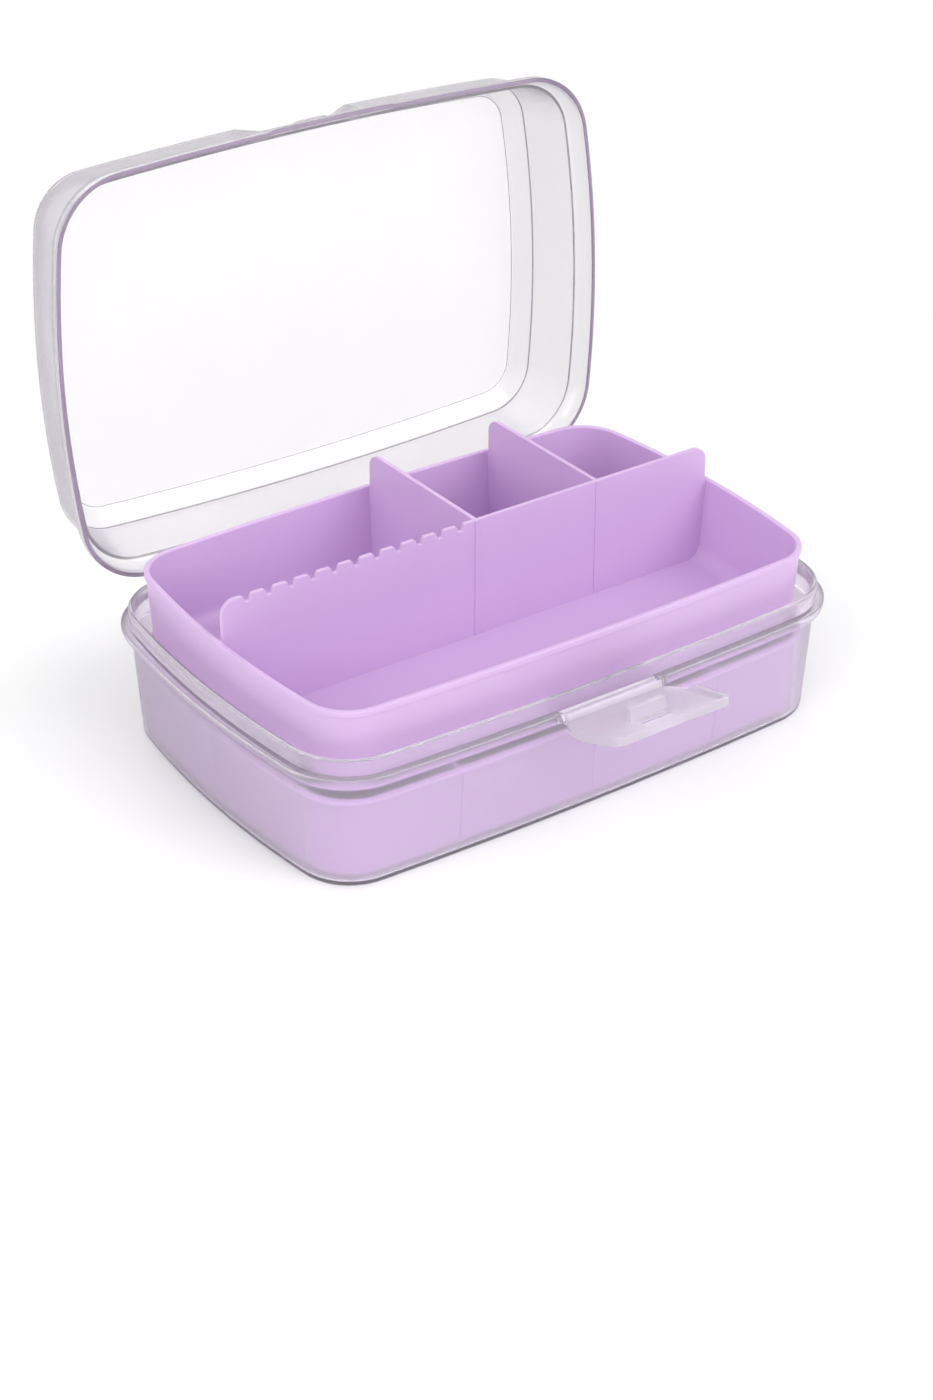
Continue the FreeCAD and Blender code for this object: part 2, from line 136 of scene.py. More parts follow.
class OrganizerShell(PropertyGroup):
    """Sizes of the clear base and lid."""

    body_length: length("Body length", "Outside length of the base wall at the rim", 208.0)
    body_width: length("Body width", "Outside width of the base wall at the rim", 137.5)
    corner_radius: length("Corner radius", "Radius of the plan's corners", 21.5)
    end_bow: length("End bow", "How far the short sides swell outward", 3.0)
    side_bow: length("Side bow", "How far the long sides swell outward", 2.1)
    core_inset: length("Core inset", "Where the flat floors and the lid's top begin", 18.0)
    base_wall: length("Base wall", "Thickness of the base wall", 1.6)
    base_floor: length("Base floor", "Thickness of the base floor", 1.8)
    base_draft: length("Base draft", "How far the wall draws in at the floor", 2.4)
    base_edge: length("Base edge", "Radius of the base's lower edge", 3.0)
    flange_foot: length("Flange foot", "Height where the rim flange leaves the wall", 37.0)
    flange_top: length("Flange top", "Height of the rim flange", 42.4)
    flange_edge: length("Flange edge", "Upright edge of the rim flange", 1.2)
    flange_outset: length("Flange outset", "How far the rim flange stands out", 3.28)
    flange_round: length("Flange rounding", "Radius of the rim flange's upper edge", 0.4)
    lip_height: length("Lip height", "Height of the lip on the flange", 5.2)
    lip_outset: length("Lip outset", "Outer face of the lip outside the wall", 0.7)
    lip_round: length("Lip rounding", "Radius of the lip's top edges", 0.65)
    lid_gap: length("Lid gap", "Gap between the closed lid and the flange", 0.2)
    lid_wall: length("Lid wall", "Thickness of the lid", 1.5)
    lid_height: length("Lid height", "Height of the lid above its gap", 34.2)
    lid_round: length("Lid rounding", "Radius of the edges of the lid's rim", 0.3)
    skirt_straight: length("Skirt", "Upright edge of the lid", 2.0)
    skirt_rise: length("Skirt swell", "Height over which the skirt swells inward", 5.8)
    lid_draft: length("Lid draft", "How far the lid wall draws in at the shoulder", 2.6)
    shoulder_drop: length("Shoulder drop", "Height of the sloping shoulder", 5.8)
    shoulder_round: length("Shoulder rounding", "Radius of the shoulder's bend", 4.0)
    top_inset: length("Top inset", "Edge of the lid's flat top inside the wall", 9.6)
    top_round: length("Top rounding", "Radius of the flat top's edge", 2.8)
    scoop_width: length("Scoop width", "Width of the finger scoop above the latch", 46.0)
    scoop_depth: length("Scoop depth", "Depth of the finger scoop at the shoulder", 3.2)
    scoop_side: length("Scoop side", "Width of the scoop's sloping sides", 5.0)
    scoop_turn: length("Scoop turn", "Radius between the scoop's sides and its face", 5.0)
    scoop_lift: length("Scoop lift", "Foot of the scoop above the skirt", 1.5)


class OrganizerFittings(PropertyGroup):
    """Sizes of the snap hinge, the latch bar and the catch."""

    hinge_length: length("Hinge length", "Length of the hinge rod", 150.0)
    hinge_rod: length("Hinge rod", "Diameter of the hinge rod", 3.5)
    hinge_web: length("Hinge web", "Thickness of the web that carries the rod", 1.2)
    hinge_play: length("Hinge play", "Gap between rod and clip", 0.08)
    hinge_clip: length("Hinge clip", "Thickness of the lid's clip", 1.35)
    hinge_gap: length("Hinge gap", "Free space round the clip", 0.25)
    hinge_room: length("Hinge room", "Depth of the room for the web in the lid's rim", 8.0)
    hinge_rest: length("Hinge rest", "Gap between the clip's end and the web when open", 0.1)
    clip_start: angle("Clip start", "Where the clip leaves the lid's rim", 150)
    latch_width: length("Latch width", "Width of the latch at its hips", 47.0)
    latch_top: length("Latch top", "Width of the latch at its free edge", 44.0)
    latch_height: length("Latch height", "Height of the latch from its pivot", 32.98)
    latch_waist: length("Latch waist", "Height where the latch begins to widen", 1.6)
    latch_hip: length("Latch hip", "Height where the latch is widest", 9.5)
    latch_hip_round: length("Latch hip rounding", "Radius of the latch's hips", 15.0)
    latch_waist_round: length("Latch waist rounding", "Radius where the latch begins to widen", 4.5)
    latch_corner: length("Latch corner", "Radius of the latch's free corners", 4.0)
    latch_wall: length("Latch wall", "Thickness of the latch", 1.5)
    latch_lean: length("Latch lean", "How far the closed latch leans back at its free edge", 4.6)
    latch_bow: length("Latch bow", "How far the latch's plate bows outward", 1.1)
    latch_side: length("Latch side", "Depth of the latch's side flanges", 2.9)
    latch_side_foot: length("Latch side foot", "Height where the side flanges begin", 9.5)
    latch_side_rise: length("Latch side rise", "Height over which the side flanges deepen", 5.0)
    latch_side_fade: share("Latch side fade", "Part of the flanges' depth lost at the free edge", 0.55)
    latch_dip: length("Latch dip", "How far the latch's free edge dips in the middle", 1.0)
    latch_rod: length("Latch bar", "Diameter of the bar the latch turns on", 2.4)
    latch_bore: length("Latch bore", "Radius inside the latch's barrel", 1.28)
    latch_barrel: length("Latch barrel", "Radius of the latch's barrel", 2.38)
    latch_mouth: angle("Latch mouth", "Opening of the latch's snap barrel", 100)
    latch_span: length("Latch span", "Length of the latch's barrel", 37.0)
    latch_gap: length("Latch gap", "Free space round the barrel", 0.4)
    latch_lug: length("Latch lug", "Thickness of the lugs that hold the bar", 2.0)
    latch_lug_wall: length("Latch lug wall", "How far the lugs stand out round the bar", 0.48)
    rim_run: length("Rim run", "Length over which the lid's rim rises over the latch bar", 6.0)
    rim_turn: length("Rim turn", "Radius where the lid's rim levels out over the latch bar", 8.0)
    window_width: length("Window width", "Width of the window in the latch", 12.5)
    window_height: length("Window height", "Height of the window in the latch", 4.8)
    window_round: length("Window rounding", "Radius of the window's one rounded corner", 2.0)
    hook_width: length("Hook width", "Width of the latch's hook", 14.0)
    hook_height: length("Hook height", "Height of the latch's hook", 2.2)
    hook_rise: length("Hook rise", "Height of the hook above the pivot", 16.6)
    hook_overlap: length("Hook overlap", "How far the hook reaches over the catch", 1.2)
    catch_width: length("Catch width", "Width of the lid's catch", 16.0)
    catch_height: length("Catch height", "Height of the lid's catch", 2.0)
    catch_outset: length("Catch outset", "How far the catch stands out of the wall line", -0.3)
    catch_round: length("Catch rounding", "Radius of the catch's ends", 3.0)
    catch_top: length("Catch top", "Height of the catch's upper face on the closed lid", 57.7)


class OrganizerInner(PropertyGroup):
    """Sizes of the lilac insert and tray."""

    insert_gap: length("Insert gap", "Gap between the insert's rim and the base", 0.4)
    insert_wall: length("Insert wall", "Thickness of the insert", 1.4)
    insert_floor: length("Insert floor", "Thickness of the insert's floor", 1.5)
    insert_top: length("Insert top", "Height of the insert's rim", 31.2)
    insert_flange: length("Insert flange", "How far the rim stands out", 1.0)
    insert_flange_height: length("Insert flange height", "Height of the rim flange", 1.6)
    insert_round: length("Insert rounding", "Radius of the edges of the insert's rim", 0.3)
    insert_edge: length("Insert edge", "Radius inside the insert's floor edge", 2.5)
    insert_foot: length("Insert foot", "Radius outside the insert's floor edge", 3.6)
    insert_line: length("Insert line", "How far the dividers show outside the insert's wall", 0.25)
    divider_wall: length("Divider wall", "Thickness of the insert's dividers", 1.4)
    divider_top: length("Divider top", "Height of the insert's dividers", 29.6)
    divider_pitch: length("Divider pitch", "Spacing of the cross dividers", 50.6)
    post: length("Post", "Diameter of the posts at the crossings", 3.0)
    tray_face: length("Tray face", "Tray wall's upper edge inside the base wall", 5.607)
    tray_foot: length("Tray foot", "Height of the tray's underside", 29.75)
    tray_height: length("Tray height", "Height of the tray's wall", 31.0)
    tray_wall: length("Tray wall", "Thickness of the tray", 1.4)
    tray_floor: length("Tray floor", "Thickness of the tray's floor", 1.5)
    tray_draft: length("Tray draft", "How far the tray's wall draws in at the floor", 2.0)
    tray_edge: length("Tray edge", "Radius of the tray's lower edge", 7.0)
    tray_bead: length("Tray bead", "How far the tray's edge bead stands out", 0.5)
    bead_height: length("Bead height", "Height of the tray's edge bead", 1.8)
    bead_round: length("Bead rounding", "Radius of the bead's upper edge", 0.4)
    tray_round: length("Tray rounding", "Radius of the upper edge inside the tray", 0.5)
    comb_wall: length("Comb wall", "Thickness of the comb and its dividers", 1.5)
    comb_rise: length("Comb rise", "Height of the comb above the tray's edge", 13.0)
    comb_corner: length("Comb corner", "Radius of the comb's upper corners", 5.0)
    comb_inset: length("Comb inset", "Gap between the raised comb and the tray's wall", 2.0)
    comb_rib: length("Comb rib", "How far the dividers show on the comb's front", 0.3)
    notch_count: IntProperty(name="Notches", description="Number of thread notches", default=11, min=1)
    notch_first: length("First notch", "Place of the first notch along the comb", -87.0)
    notch_pitch: length("Notch pitch", "Spacing of the thread notches", 8.06)
    notch_width: length("Notch width", "Width of a thread notch at its mouth", 3.4)
    notch_floor: length("Notch floor", "Width of a thread notch at its bottom", 1.9)
    notch_corner: length("Notch corner", "Radius of a notch's upper corners", 0.7)
    notch_turn: length("Notch turn", "Radius of a notch's lower corners", 0.5)
    notch_depth: length("Notch depth", "Depth of a thread notch", 2.4)
    second_divider: length("Second divider", "Place of the tray's second divider", 49.5)


class OrganizerColours(PropertyGroup):
    """Colours of the plastics and the stage."""

    satin: colour("Satin plastic", "Tint of the base seen face on", "#F6F0F9")
    # The satin edge tint is painted shade and painted reflection of the lilac insert, where the base wall is
    # seen along.
    satin_edge_painted_lilac: colour("Satin edge", "Tint of the base seen along a wall", "#B598C6")
    clear: colour("Clear plastic", "Tint of the lid seen face on", "#F0EEF1")
    # The clear edge tint stands for the longer path through a wall seen along, with painted reflection of the
    # lilac pieces.
    clear_edge_depth_and_painted_reflection: colour("Clear edge", "Tint of the lid seen along a wall", "#9C8EA4")
    # The rim tint is a painted line of light and shade, where light leaves along the wall.
    rim: colour("Rim", "Tint of the lid's rim, where light leaves along the wall", "#A08FA8")
    # The bend tint is painted shade: fine grey lines where the lid's faces turn.
    bend: colour("Bend", "Tint of the fine lines where the lid's faces turn", "#8B868E")
    frosted: colour("Frosted plastic", "Tint of the lid's flat top seen face on", "#FEFDFE")
    # The frosted edge tint is painted reflection of the lilac tray below the flat top.
    frosted_edge_painted_lilac: colour("Frosted edge", "Tint of the lid's flat top seen along it", "#E6DCEB")
    milky: colour("Milky plastic", "Tint of the latch seen face on", "#EEE7F1")
    milky_edge: colour("Milky edge", "Tint of the latch seen along its plate", "#F8F5F9")
    lilac: colour("Lilac plastic", "Colour of the insert and tray", "#D2B3DE")
    floor: colour("Floor", "Colour of the studio floor", "#F8F8F8")


def plan_loop(shell, outset):
    """Points round the box's plan at one distance outside the base wall."""
    corner_x = shell.body_length / 2 - shell.corner_radius - shell.end_bow
    corner_y = shell.body_width / 2 - shell.corner_radius - shell.side_bow
    side_arc = (corner_x ** 2 + shell.side_bow ** 2) / (2 * shell.side_bow)
    end_arc = (corner_y ** 2 + shell.end_bow ** 2) / (2 * shell.end_bow)
    side_half = math.asin(corner_x / side_arc)
    end_half = math.asin(corner_y / end_arc)
    corner_sweep = math.pi / 2 - side_half - end_half
    reach = shell.corner_radius + outset
    points = []
    for sign, start in ((1, 0), (-1, math.pi)):
        front = start - math.pi / 2
        side_middle = (0, sign * (side_arc - corner_y - shell.side_bow))
        end_middle = (sign * (corner_x + shell.end_bow - end_arc), 0)
        first = (sign * corner_x, -sign * corner_y)
        second = (sign * corner_x, sign * corner_y)
        for middle, radius, begin, sweep, steps in (
            (side_middle, side_arc + reach, front - side_half, 2 * side_half, SIDE_STEPS),
            (first, reach, front + side_half, corner_sweep, CORNER_STEPS),
            (end_middle, end_arc + reach, start - end_half, 2 * end_half, END_STEPS),
            (second, reach, start + end_half, corner_sweep, CORNER_STEPS),
        ):
            for i in range(steps):
                turn = begin + sweep * i / steps
                points.append((middle[0] + radius * math.cos(turn), middle[1] + radius * math.sin(turn)))
    return points


def plan_depth(shell, x, outset):
    """How far the long side lies behind the middle at one place along the box."""
    corner_x = shell.body_length / 2 - shell.corner_radius - shell.end_bow
    side_arc = (corner_x ** 2 + shell.side_bow ** 2) / (2 * shell.side_bow)
    reach = side_arc + shell.corner_radius + outset
    return shell.body_width / 2 - shell.corner_radius - side_arc + math.sqrt(reach ** 2 - x ** 2)


def arc(middle, radius, start, end, steps=BEND_STEPS):
    """Points along a circle between two angles, both ends with them."""
    turns = [start + (end - start) * i / steps for i in range(steps + 1)]
    return [(middle[0] + radius * math.cos(turn), middle[1] + radius * math.sin(turn)) for turn in turns]


def turned(points, closed=False):
    """Outline whose (a, b, radius) corners are turned in arcs."""
    out = []
    for i, point in enumerate(points):
        if len(point) == 2 or (not closed and i in (0, len(points) - 1)):
            out.append(tuple(point[:2]))
            continue
        here = Vector(point[:2])
        back = (Vector(points[i - 1][:2]) - here).normalized()
        ahead = (Vector(points[(i + 1) % len(points)][:2]) - here).normalized()
        half = back.angle(ahead) / 2
        middle = here + (back + ahead).normalized() * point[2] / math.sin(half)
        first = here + back * point[2] / math.tan(half) - middle
        last = here + ahead * point[2] / math.tan(half) - middle
        start = math.atan2(first.y, first.x)
        sweep = first.angle_signed(last)
        out += arc(middle, point[2], start, start - sweep)
    return out


def parallel(points, distance):
    """Run of straight lines moved to its left."""
    moved = []
    for i, point in enumerate(points):
        here = Vector(point)
        legs = []
        if i > 0:
            legs.append((here - Vector(points[i - 1])).normalized())
        if i < len(points) - 1:
            legs.append((Vector(points[i + 1]) - here).normalized())
        total = Vector((-legs[0].y - legs[-1].y, legs[0].x + legs[-1].x))
        moved.append(tuple(here + total * (2 * distance / total.length_squared)))
    return moved


def new_object(name, mesh):
    """Object from a bmesh, with its faces turned outward."""
    bmesh.ops.recalc_face_normals(mesh, faces=mesh.faces)
    data = bpy.data.meshes.new(name)
    mesh.to_mesh(data)
    mesh.free()
    piece = bpy.data.objects.new(name, data)
    bpy.context.scene.collection.objects.link(piece)
    return piece


def swept(name, shell, section):
    """Closed solid from a section of (outset, height) points swept round the plan."""
    mesh = bmesh.new()
    rings = []
    for outset, height in section:
        rings.append([mesh.verts.new((x, y, height)) for x, y in plan_loop(shell, outset)])
    for low, high in zip(rings, rings[1:]):
        for i in range(len(low)):
            mesh.faces.new((low[i - 1], low[i], high[i], high[i - 1]))
    mesh.faces.new(rings[0])
    mesh.faces.new(rings[-1])
    return new_object(name, mesh)


def filled(name, shell, outside, outset, top):
    """Everything inside a drafted wall moved by an outset, up to a height."""
    foot, wall = outside
    section = [
        (-shell.core_inset, foot[1]),
        (foot[0] + outset, *foot[1:]),
        (wall[0] + outset, wall[1]),
        (wall[0] + outset, top),
        (-shell.core_inset, top),
    ]
    return swept(name, shell, turned(section))


def prism(name, axis, outline, low, high):
    """Solid with a flat outline, drawn out along one axis."""
    mesh = bmesh.new()
    rings = []
    for level in (low, high):
        ring = []
        for a, b in outline:
            place = {"X": (level, a, b), "Y": (a, level, b), "Z": (a, b, level)}[axis]
            ring.append(mesh.verts.new(place))
        rings.append(ring)
    for i in range(len(outline)):
        mesh.faces.new((rings[0][i - 1], rings[0][i], rings[1][i], rings[1][i - 1]))
    mesh.faces.new(rings[0])
    mesh.faces.new(rings[1])
    return new_object(name, mesh)


def block(name, x, y, z):
    """Box between three pairs of limits."""
    return prism(name, "Z", [(x[0], y[0]), (x[1], y[0]), (x[1], y[1]), (x[0], y[1])], *z)


def plan_prism(name, shell, outset, low, high):
    """Upright solid with the box's plan."""
    return prism(name, "Z", plan_loop(shell, outset), low, high)


def rod(name, radius, x, axis):
    """Round bar along the box, on an axis at (y, z)."""
    return prism(name, "X", arc(axis, radius, 0, math.tau, ROUND_STEPS)[:-1], *x)


def combine(piece, tool, operation):
    """Joins, cuts or crosses a piece with a tool, which is used up."""
    modifier = piece.modifiers.new(operation.lower(), "BOOLEAN")
    modifier.operation = operation
    modifier.object = tool
    modifier.solver = "EXACT"
    graph = bpy.context.evaluated_depsgraph_get()
    made = bpy.data.meshes.new_from_object(piece.evaluated_get(graph))
    old = piece.data
    piece.modifiers.clear()
    piece.data = made
    made.name = old.name
    bpy.data.meshes.remove(old)
    used = tool.data
    bpy.data.objects.remove(tool)
    bpy.data.meshes.remove(used)
    return piece


def join(piece, tool):
    """Adds a tool to a piece."""
    return combine(piece, tool, "UNION")


def cut(piece, tool):
    """Takes a tool out of a piece."""
    return combine(piece, tool, "DIFFERENCE")


def cross(piece, tool):
    """Keeps what a piece and a tool share."""
    return combine(piece, tool, "INTERSECT")


def joint_turn(name):
    """Matrix that takes a piece from its joint's closed limit to rest."""
    joint = JOINTS[name]
    place = Vector(joint["pos_m"])
    turn = Matrix.Rotation(-math.radians(joint["range_deg"][0]), 4, Vector(joint["axis"]))
    return Matrix.Translation(place) @ turn @ Matrix.Translation(-place)


def add_node(tree, kind, values=(), links=(), **settings):
    """One shader node with its settings, the values on its sockets and the links into it."""
    node = tree.nodes.new("ShaderNode" + kind)
    for name, value in settings.items():
        setattr(node, name, value)
    for socket, value in dict(values).items():
        node.inputs[socket].default_value = value
    for socket, source in dict(links).items():
        tree.links.new(source, node.inputs[socket])
    return node


def new_material(name):
    """Empty node material and its tree."""
    material = bpy.data.materials.new(name)
    material.use_nodes = True
    material.node_tree.nodes.clear()
    return material, material.node_tree


def tints():
    """Colours set for the plastics and the stage."""
    return bpy.context.scene.organizer_colours


def pattern(tree, size, *, detail, rough, bump, height):
    """Noise of a real size, and the roughness and bump that it gives a surface."""
    place = add_node(tree, "TexCoord")
    noise = add_node(
        tree, "TexNoise", {"Scale": 1 / size, "Detail": detail}, {"Vector": place.outputs["Object"]},
    )
    fac = noise.outputs["Fac"]
    haze = add_node(tree, "MapRange", {"To Min": rough[0], "To Max": rough[1]}, {"Value": fac})
    relief = add_node(tree, "Bump", {"Strength": bump, "Distance": height}, {"Height": fac})
    return fac, {"Roughness": haze.outputs["Result"], "Normal": relief.outputs["Normal"]}


def clear_moulding(name, face, edge, *, rough, clear, lamp, start=0.2, flow=28 * MM):
    """Uncoloured polypropylene with one tint seen face on and one seen along its walls, the second partly
    painted shade and reflection.

    rough is the range of roughness, clear the part of the light that goes straight through, lamp the part of
    the lamps' light that passes, start where the walls' tint sets in and flow the size of the melt's clouds.
    """
    material, tree = new_material(name)
    cloud, surface = pattern(tree, flow, detail=1.0, rough=rough, bump=0.02, height=0.2 * MM)
    # Seen along a wall, the colour turns from the face tint to the edge tint. This stands for the longer path
    # through the plastic and is also painted shade and reflection of what lies round it.
    slant = add_node(tree, "LayerWeight", {"Blend": 0.3})
    streak = add_node(tree, "MapRange", {"To Min": 0.7, "To Max": 1.0}, {"Value": cloud})
    depth = add_node(
        tree, "MapRange", {"From Min": start, "From Max": 0.75},
        {"Value": slant.outputs["Facing"], "To Max": streak.outputs["Result"]},
        interpolation_type="SMOOTHSTEP",
    )
    shade = add_node(
        tree, "Mix", {"A": (*face, 1), "B": (*edge, 1)}, {"Factor": depth.outputs["Result"]},
        data_type="RGBA",
    )
    body = add_node(
        tree, "BsdfPrincipled", {"IOR": PLASTIC_IOR, "Transmission Weight": clear},
        {"Base Color": shade.outputs["Result"], **surface},
    )
    ray = add_node(tree, "LightPath")
    passed = add_node(tree, "BsdfTransparent", {"Color": (lamp, lamp, lamp, 1)})
    mixed = add_node(
        tree, "MixShader", {},
        {0: ray.outputs["Is Shadow Ray"], 1: body.outputs["BSDF"], 2: passed.outputs["BSDF"]},
    )
    add_node(tree, "OutputMaterial", {}, {"Surface": mixed.outputs["Shader"]})
    return material


def clear_plastic():
    """Clarified polypropylene from a polished tool."""
    # Clear with a little haze; the melt's flow bends reflections slowly. Walls seen along turn mauve grey,
    # partly for the longer path through the plastic and partly as painted reflection of the lilac pieces.
    return clear_moulding(
        "clarified_polypropylene_polished", tints().clear, tints().clear_edge_depth_and_painted_reflection,
        rough=(0.12, 0.2), clear=0.9, lamp=0.89, start=0.1,
    )


def satin_plastic():
    """Clarified polypropylene with a lightly blasted outer face."""
    # Softens what stands behind it; where its wall is seen along, the insert's lilac is painted into its tint
    # as painted shade and reflection.
    return clear_moulding(
        "clarified_polypropylene_satin", tints().satin, tints().satin_edge_painted_lilac,
        rough=(0.18, 0.26), clear=0.89, lamp=0.95, start=0.3,
    )


def frosted_plastic():
    """Clarified polypropylene from a blasted tool."""
    # The fine pits scatter light, so the lid's flat top is milky and blurs what lies below it. Seen along it,
    # the top turns lilac: painted reflection of the tray below.
    return clear_moulding(
        "clarified_polypropylene_frosted", tints().frosted, tints().frosted_edge_painted_lilac,
        rough=(0.5, 0.62), clear=0.9, lamp=0.75,
    )


def turned_plastic():
    """Clarified polypropylene on the turned edge of the lid's flat top."""
    # The blasted curve catches light from all sides and draws a white line round the top.
    return clear_moulding(
        "clarified_polypropylene_turned", tints().frosted, tints().frosted,
        rough=(0.4, 0.5), clear=0.35, lamp=0.8,
    )


def painted_rim_line():
    """Clarified polypropylene at the lid's open rim, carrying a painted mauve line."""
    # Light that has run along the wall leaves here; the mauve line round the clear lid is painted light and
    # shade in the rim's tint.
    return clear_moulding(
        "clarified_polypropylene_painted_rim_line", tints().rim, tints().clear_edge_depth_and_painted_reflection,
        rough=(0.16, 0.24), clear=0.55, lamp=0.93,
    )


def painted_bend_line():
    """Clarified polypropylene in the inner bends of the lid, carrying painted grey lines."""
    # The tight bends throw light aside; the fine grey line where two faces meet is painted shade in their
    # tint.
    return clear_moulding(
        "clarified_polypropylene_painted_bend_line", tints().bend, tints().bend,
        rough=(0.16, 0.24), clear=0.6, lamp=0.93,
    )


def milky_plastic():
    """Natural polypropylene, moulded without colour."""
    # Cloudy white that lets light through, with a soft satin shine and paler edges.
    return clear_moulding(
        "natural_polypropylene_milky", tints().milky, tints().milky_edge,
        rough=(0.3, 0.42), clear=0.8, lamp=0.85, flow=9 * MM,
    )


def lilac_plastic():
    """Coloured polypropylene, moulded in a finely eroded tool."""
    # Even lilac with a soft sheen; the pigment clouds a little and light creeps into thin walls.
    cloud_size, grain_size = 35 * MM, 0.6 * MM
    material, tree = new_material("coloured_polypropylene_lilac")
    tint = tints().lilac
    deeper = tuple(c * 0.95 for c in tint)
    place = add_node(tree, "TexCoord")
    cloud = add_node(
        tree, "TexNoise", {"Scale": 1 / cloud_size, "Detail": 2.0}, {"Vector": place.outputs["Object"]},
    )
    pigment = add_node(
        tree, "Mix", {"A": (*tint, 1), "B": (*deeper, 1)}, {"Factor": cloud.outputs["Fac"]},
        data_type="RGBA",
    )
    _, surface = pattern(tree, grain_size, detail=1.0, rough=(0.36, 0.46), bump=0.06, height=0.1 * MM)
    body = add_node(
        tree, "BsdfPrincipled",
        {
            "IOR": PLASTIC_IOR,
            "Subsurface Weight": 0.15,
            "Subsurface Scale": 2 * MM,
            "Subsurface Radius": (1.0, 0.7, 1.0),
        },
        {"Base Color": pigment.outputs["Result"], **surface},
    )
    add_node(tree, "OutputMaterial", {}, {"Surface": body.outputs["BSDF"]})
    return material


def seen_directly(tree):
    """Node that is 1 for what the camera sees, also in gloss and through clear plastic."""
    ray = add_node(tree, "LightPath")
    through = add_node(
        tree, "Math", {},
        {0: ray.outputs["Is Camera Ray"], 1: ray.outputs["Is Transmission Ray"]}, operation="MAXIMUM",
    )
    return add_node(
        tree, "Math", {}, {0: through.outputs["Value"], 1: ray.outputs["Is Glossy Ray"]}, operation="MAXIMUM",
    )


def studio_paper():
    """Matt white paper sheet that runs out into white round the box."""
    # Even and matt with a faint mottle, so that only the box's soft shadow shows on it.
    mottle_size = 40 * MM
    material, tree = new_material("studio_paper_white")
    tint = tints().floor
    deeper = tuple(c * 0.99 for c in tint)
    fibre, surface = pattern(tree, mottle_size, detail=3.0, rough=(0.85, 0.95), bump=0.02, height=0.1 * MM)
    pulp = add_node(
        tree, "Mix", {"A": (*tint, 1), "B": (*deeper, 1)}, {"Factor": fibre}, data_type="RGBA",
    )
    paper = add_node(tree, "BsdfPrincipled", {}, {"Base Color": pulp.outputs["Result"], **surface})
    place = add_node(tree, "TexCoord")
    away = add_node(tree, "VectorMath", {}, {0: place.outputs["Object"]}, operation="LENGTH")
    fade = add_node(
        tree, "MapRange", {"From Min": FLOOR_FADE[0], "From Max": FLOOR_FADE[1]},
        {"Value": away.outputs["Value"]}, interpolation_type="SMOOTHSTEP",
    )
    seen = seen_directly(tree)
    run_out = add_node(
        tree, "Math", {}, {0: fade.outputs["Result"], 1: seen.outputs["Value"]}, operation="MULTIPLY",
    )
    white = add_node(tree, "Emission", {"Color": WHITE, "Strength": 1.0})
    mixed = add_node(
        tree, "MixShader", {},
        {0: run_out.outputs["Value"], 1: paper.outputs["BSDF"], 2: white.outputs["Emission"]},
    )
    add_node(tree, "OutputMaterial", {}, {"Surface": mixed.outputs["Shader"]})
    return material


def shared_material(make):
    """Material made once and used by like pieces."""
    key = make.__name__
    if key not in MATERIALS:
        MATERIALS[key] = make()
    return MATERIALS[key]


def dress(piece, make, body, node):
    """Smooth shading, material and body of a finished piece, whose CAD node is hidden."""
    if not piece.data.polygons:
        raise RuntimeError(f"{piece.name} has no faces")
    for face in piece.data.polygons:
        face.use_smooth = True
    piece.data.set_sharp_from_angle(angle=SMOOTH_ANGLE)
    piece.data.materials.clear()
    piece.data.materials.append(shared_material(make))
    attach(piece, body)
    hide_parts(node)


def base_inner(shell, height):
    """Outset of the base's inner face at one height."""
    return -shell.base_wall - shell.base_draft * (1 - height / shell.flange_foot)


def base_section(shell):
    """Section of the base from its floor up the wall, over flange and lip and down inside."""
    edge = shell.flange_top - shell.flange_edge
    lip_top = shell.flange_top + shell.lip_height
    rise = edge - shell.flange_foot
    swell = (shell.flange_outset ** 2 + rise ** 2) / (2 * shell.flange_outset)
    middle = (shell.flange_outset - swell, edge)
    return turned([
        (-shell.core_inset, 0),
        (-shell.base_draft, 0, shell.base_edge),
        *arc(middle, swell, math.atan2(-rise, -middle[0]), 0),
        (shell.flange_outset, shell.flange_top, shell.flange_round),
        (shell.lip_outset, shell.flange_top),
        (shell.lip_outset, lip_top, shell.lip_round),
        (base_inner(shell, lip_top), lip_top, shell.lip_round),
        (base_inner(shell, shell.base_floor), shell.base_floor, shell.base_edge / 2),
        (-shell.core_inset, shell.base_floor),
    ])


def hinge_numbers(fit):
    """Half length of the hinge rod, and the inner and outer radius of the clip round it."""
    bore = fit.hinge_rod / 2 + fit.hinge_play
    return fit.hinge_length / 2, bore, bore + fit.hinge_clip


def add_hinge_rod(piece, shell, fit):
    """Groove in the base's back rim, and the hinge rod on its web."""
    half, _, clip = hinge_numbers(fit)
    groove = half + fit.hinge_gap
    cut(piece, rod("groove", clip + fit.hinge_gap, (-groove, groove), HINGE))
    half_web = fit.hinge_web / 2
    web = block("web", (-half, half), (0, HINGE_Y), (HINGE_Z - half_web, HINGE_Z + half_web))
    lip_top = shell.flange_top + shell.lip_height
    cut(web, plan_prism("inside", shell, 0, 0, lip_top))
    join(web, rod("hinge_rod", fit.hinge_rod / 2, (-half, half), HINGE))
    join(piece, web)


